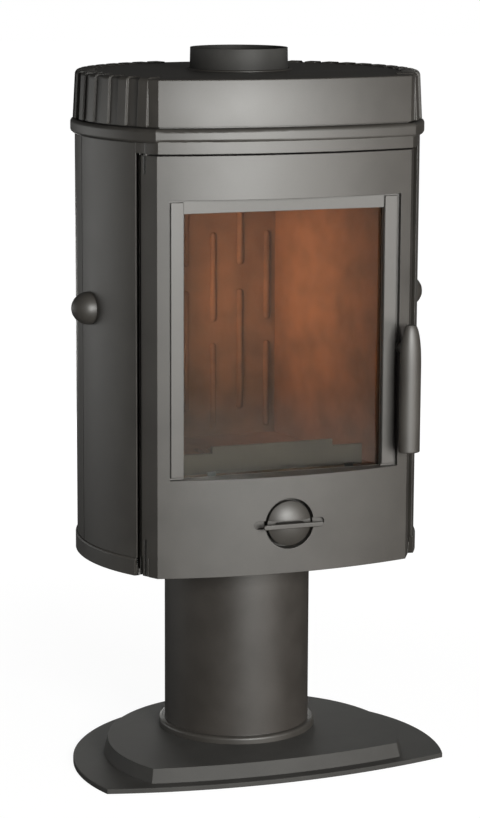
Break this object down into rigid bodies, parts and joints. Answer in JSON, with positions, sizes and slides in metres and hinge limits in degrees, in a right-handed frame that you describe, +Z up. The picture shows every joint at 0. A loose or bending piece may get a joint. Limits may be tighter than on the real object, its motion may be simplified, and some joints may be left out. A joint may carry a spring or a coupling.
{
  "type": "wood stove",
  "caption": "Cast iron wood stove with a round body, a bowed glass door, a ribbed crown, a flue collar and a pedestal foot.",
  "frame": {"origin": "on the floor, on the shared axis of the pedestal tube and the flue collar", "axes": "+Z up along the flue, -Y out of the door, +X to the side of the door handle"},
  "size_m": [0.526, 0.442, 1],
  "materials": {
    "painted_cast_iron": "matt heat-resistant paint",
    "painted_sheet_steel": "matt heat-resistant paint",
    "zinc_steel": "zinc plated",
    "bare_sheet_steel": "bare sheet",
    "fire_iron": "bare, fire-browned",
    "stove_glass": "clear glass ceramic",
    "gasket": "woven glass fibre"
  },
  "bodies": {
    "stove": {"ash_box": "painted_sheet_steel", "ash_pan": "bare_sheet_steel", "baffle": "fire_iron", "baffle_rests": "fire_iron", "base_plate": "painted_cast_iron", "base_plinth": "painted_cast_iron", "body_floor": "painted_cast_iron", "collar_bolts": "zinc_steel", "crown": "painted_cast_iron", "fire_grate": "fire_iron", "firebox_back": "fire_iron", "firebox_side_left": "fire_iron", "firebox_side_right": "fire_iron", "flue_collar": "painted_cast_iron", "foot_bolts": "zinc_steel", "foot_ring": "painted_cast_iron", "front_frame": "painted_cast_iron", "head_bolts": "zinc_steel", "hearth_plate": "fire_iron", "hinge_pin_lower": "zinc_steel", "hinge_pin_upper": "zinc_steel", "joint_strip_left": "painted_cast_iron", "joint_strip_right": "painted_cast_iron", "latch_keeper": "zinc_steel", "log_retainer": "fire_iron", "pan_runners": "painted_sheet_steel", "panel_knob_left": "painted_cast_iron", "panel_knob_right": "painted_cast_iron", "pedestal_tube": "painted_sheet_steel", "rear_casing": "painted_sheet_steel", "side_panel_left": "painted_cast_iron", "side_panel_right": "painted_cast_iron", "top_plate": "painted_cast_iron"},
    "door": {"door_casting": "painted_cast_iron", "door_glass": "stove_glass", "glass_gasket": "gasket", "glass_clips": "zinc_steel", "clip_screws": "zinc_steel", "door_rope": "gasket", "air_cup": "painted_cast_iron"},
    "handle": {"handle_grip": "painted_cast_iron", "handle_spindle": "zinc_steel", "latch_cam": "zinc_steel", "spindle_nut": "zinc_steel"},
    "air_control": {"air_disc": "painted_cast_iron", "air_spindle": "zinc_steel", "air_valve_plate": "zinc_steel", "air_nut": "zinc_steel"}
  },
  "joints": [
    {"name": "door_hinge", "type": "hinge", "parent": "stove", "child": "door", "pos_m": [-0.19, -0.171, 0.585], "axis": [0, 0, -1], "range_deg": [0, 105]},
    {"name": "handle_turn", "type": "hinge", "parent": "door", "child": "handle", "pos_m": [0.171, -0.19, 0.6], "axis": [0, -1, 0], "range_deg": [0, 90]},
    {"name": "air_turn", "type": "hinge", "parent": "door", "child": "air_control", "pos_m": [0, -0.21, 0.3688], "axis": [0, 1, 0], "range_deg": [0, 90]}
  ]
}
